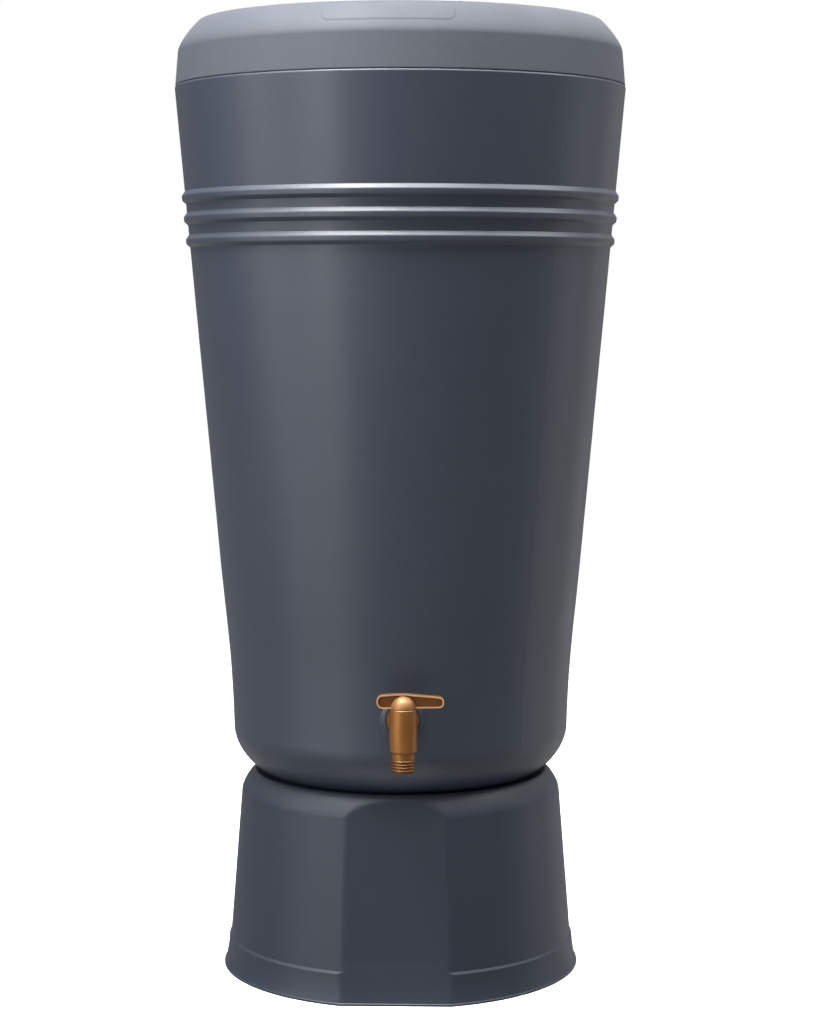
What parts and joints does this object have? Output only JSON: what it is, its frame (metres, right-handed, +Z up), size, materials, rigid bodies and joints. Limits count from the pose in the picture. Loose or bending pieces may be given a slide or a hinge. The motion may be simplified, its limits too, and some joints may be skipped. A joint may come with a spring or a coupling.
{
  "type": "rain barrel",
  "caption": "Tall conical garden rain barrel with ribs, a lift-off lid, a bronze-coloured lever tap with an outlet thread, and a separate hollow stand.",
  "frame": {"origin": "on the ground, on the vertical axis of the barrel and stand", "axes": "+Z up along the axis; -Y is the front, where the tap is; +X is to the right seen from the front"},
  "size_m": [0.5186, 0.5186, 1.099],
  "materials": {
    "barrel_plastic": "dark slate grey moulded polyethylene, satin",
    "lid_plastic": "dark slate grey moulded polyethylene, fine grained satin",
    "stand_plastic": "dark slate grey moulded polyethylene, satin",
    "tap_bronze_plastic": "bronze metallic plastic, semi gloss",
    "lever_bronze_plastic": "bronze metallic plastic, semi gloss",
    "plug_plastic": "natural white acetal",
    "nut_plastic": "black moulded plastic",
    "seal_rubber": "black rubber",
    "clip_steel": "stainless steel"
  },
  "bodies": {
    "stand": {"stand": "stand_plastic"},
    "barrel": {"barrel": "barrel_plastic", "tap_body": "tap_bronze_plastic", "tap_outer_gasket": "seal_rubber", "tap_inner_gasket": "seal_rubber", "tap_slip_washer": "plug_plastic", "tap_lock_nut": "nut_plastic"},
    "lid": {"lid": "lid_plastic"},
    "tap_valve": {"tap_lever": "lever_bronze_plastic", "tap_plug": "plug_plastic", "plug_o_ring_upper": "seal_rubber", "plug_o_ring_lower": "seal_rubber", "plug_retaining_clip": "clip_steel"}
  },
  "joints": [
    {"name": "barrel_lift", "type": "slide", "parent": "stand", "child": "barrel", "axis": [0, 0, 1], "range_m": [0, 0.1]},
    {"name": "lid_lift", "type": "slide", "parent": "barrel", "child": "lid", "axis": [0, 0, 1], "range_m": [0, 0.12]},
    {"name": "tap_turn", "type": "hinge", "parent": "barrel", "child": "tap_valve", "pos_m": [0, -0.24, 0.342], "axis": [0, 0, -1], "range_deg": [0, 90]}
  ]
}
